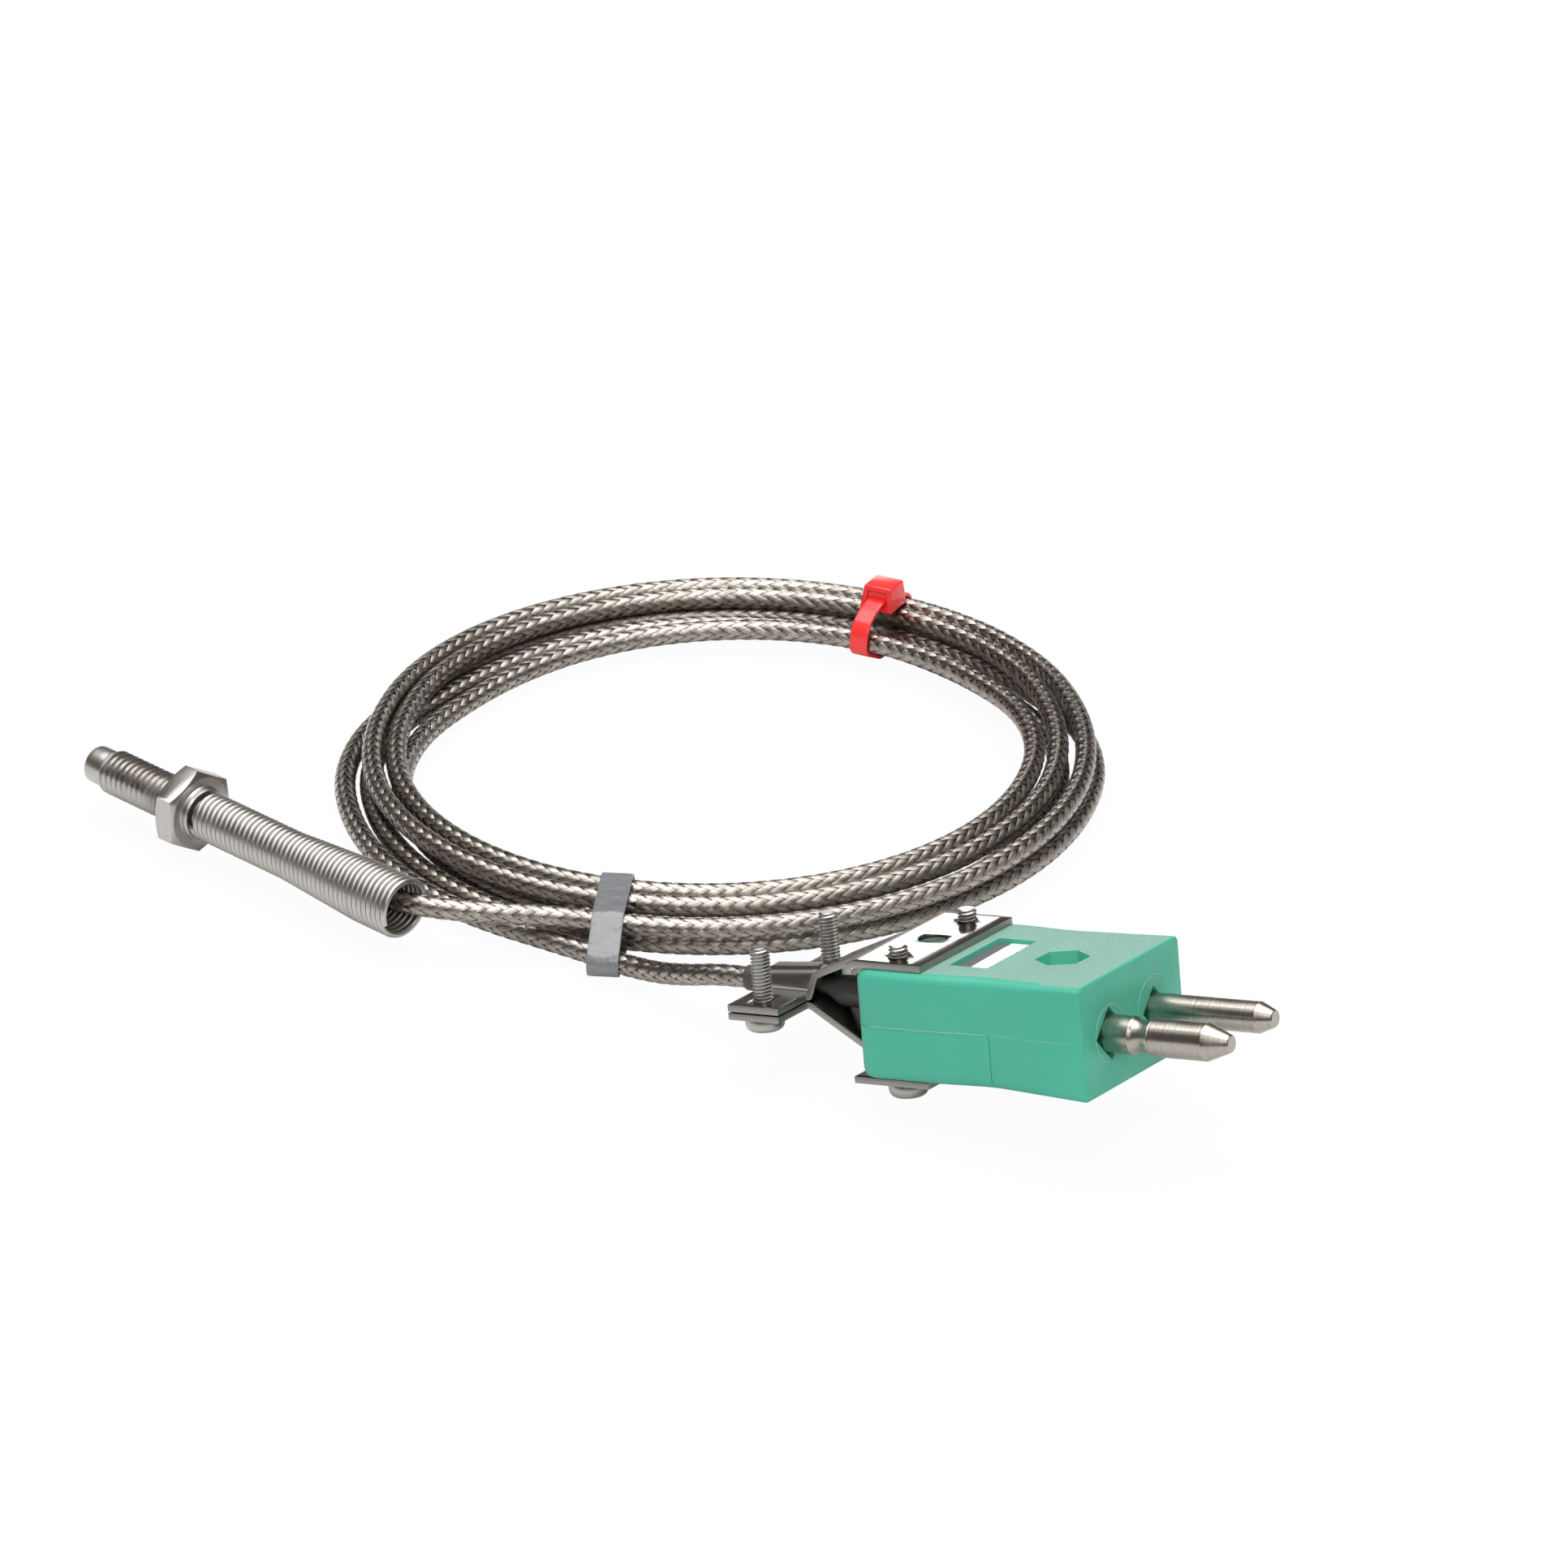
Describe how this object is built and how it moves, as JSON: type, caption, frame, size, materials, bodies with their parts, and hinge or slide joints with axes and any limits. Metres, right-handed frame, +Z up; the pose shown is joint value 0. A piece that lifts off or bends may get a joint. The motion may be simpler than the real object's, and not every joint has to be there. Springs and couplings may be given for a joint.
{
  "type": "bolt thermocouple",
  "caption": "Threaded bolt thermocouple with a hexagon and strain relief spring on a steel braided cable, coiled and tied, ending in a green round-pin plug with a cable clamp.",
  "frame": {"origin": "on the floor under the middle of the probe, measured on the probe's own pieces", "axes": "+X along the probe from its threaded nose to the spring's mouth, +Z up from the floor"},
  "size_m": [0.1747, 0.1175, 0.0243],
  "materials": {
    "bolt_steel": "turned",
    "alloy_wire": "drawn wire",
    "cement": "matte",
    "spring_steel": "bright wire",
    "braid": "bright braided wire",
    "red_nylon": "glossy",
    "grey_band": "matte",
    "plug_green": "fine grain",
    "pin_alloy": "turned",
    "terminal_brass": "turned",
    "plate_steel": "pressed sheet",
    "screw_steel": "bright",
    "black_sleeve": "satin",
    "label": "glossy film"
  },
  "bodies": {
    "root": {"probe_bolt": "bolt_steel", "thermo_junction": "alloy_wire", "cement_fill": "cement", "positive_element": "alloy_wire", "negative_element": "alloy_wire", "strain_spring": "spring_steel", "cable_probe_lead": "braid", "cable_coil": "braid", "cable_plug_lead": "braid", "red_cable_tie": "red_nylon", "grey_marker_band": "grey_band", "plug_housing": "plug_green", "plug_cover": "plug_green", "positive_pin": "pin_alloy", "negative_pin": "pin_alloy", "lower_clamp_plate": "plate_steel", "cable_sleeve": "black_sleeve", "label_plate": "label", "positive_core": "alloy_wire", "negative_core": "alloy_wire"},
    "clamp_plate": {"upper_clamp_plate": "plate_steel"},
    "near_jaw_screw": {"near_jaw_screw": "screw_steel"},
    "far_jaw_screw": {"far_jaw_screw": "screw_steel"},
    "near_body_screw": {"near_body_screw": "screw_steel"},
    "far_body_screw": {"far_body_screw": "screw_steel"},
    "positive_washer": {"positive_pressure_washer": "terminal_brass"},
    "negative_washer": {"negative_pressure_washer": "terminal_brass"},
    "positive_terminal": {"positive_terminal_screw": "terminal_brass"},
    "negative_terminal": {"negative_terminal_screw": "terminal_brass"}
  },
  "joints": [
    {"name": "near_jaw_screw_turn", "type": "hinge", "parent": "root", "child": "near_jaw_screw", "pos_m": [0.08394, 0.00965, 0.00876], "axis": [0.2021, -0.0899, -0.9752], "range_deg": [0, 2400]},
    {"name": "far_jaw_screw_turn", "type": "hinge", "parent": "root", "child": "far_jaw_screw", "pos_m": [0.08012, 0.02544, 0.00651], "axis": [0.2021, -0.0899, -0.9752], "range_deg": [0, 2400]},
    {"name": "near_body_screw_turn", "type": "hinge", "parent": "root", "child": "near_body_screw", "pos_m": [0.1032, 0.0146, 0.01229], "axis": [0.2021, -0.0899, -0.9752], "range_deg": [0, 2400]},
    {"name": "far_body_screw_turn", "type": "hinge", "parent": "root", "child": "far_body_screw", "pos_m": [0.09928, 0.03078, 0.00999], "axis": [0.2021, -0.0899, -0.9752], "range_deg": [0, 2400]},
    {"name": "clamp_open", "type": "slide", "parent": "root", "child": "clamp_plate", "axis": [-0.2021, 0.0899, 0.9752], "range_m": [0, 0.00225]},
    {"name": "positive_washer_drop", "type": "slide", "parent": "root", "child": "positive_washer", "axis": [0.2021, -0.0899, -0.9752], "range_m": [0, 0.00075]},
    {"name": "positive_terminal_turn", "type": "hinge", "parent": "positive_washer", "child": "positive_terminal", "pos_m": [0.10994, 0.03071, 0.0122], "axis": [0.2021, -0.0899, -0.9752], "range_deg": [0, 720]},
    {"name": "negative_washer_drop", "type": "slide", "parent": "root", "child": "negative_washer", "axis": [0.2021, -0.0899, -0.9752], "range_m": [0, 0.00075]},
    {"name": "negative_terminal_turn", "type": "hinge", "parent": "negative_washer", "child": "negative_terminal", "pos_m": [0.11252, 0.02002, 0.01373], "axis": [0.2021, -0.0899, -0.9752], "range_deg": [0, 720]}
  ],
  "couplings": [
    {"joint": "near_jaw_screw_turn", "follows": "clamp_open", "rad_per_m": 13963},
    {"joint": "far_jaw_screw_turn", "follows": "clamp_open", "rad_per_m": 13963},
    {"joint": "near_body_screw_turn", "follows": "clamp_open", "rad_per_m": 13963},
    {"joint": "far_body_screw_turn", "follows": "clamp_open", "rad_per_m": 13963},
    {"joint": "positive_terminal_turn", "follows": "positive_washer_drop", "rad_per_m": 12566},
    {"joint": "negative_terminal_turn", "follows": "negative_washer_drop", "rad_per_m": 12566}
  ]
}
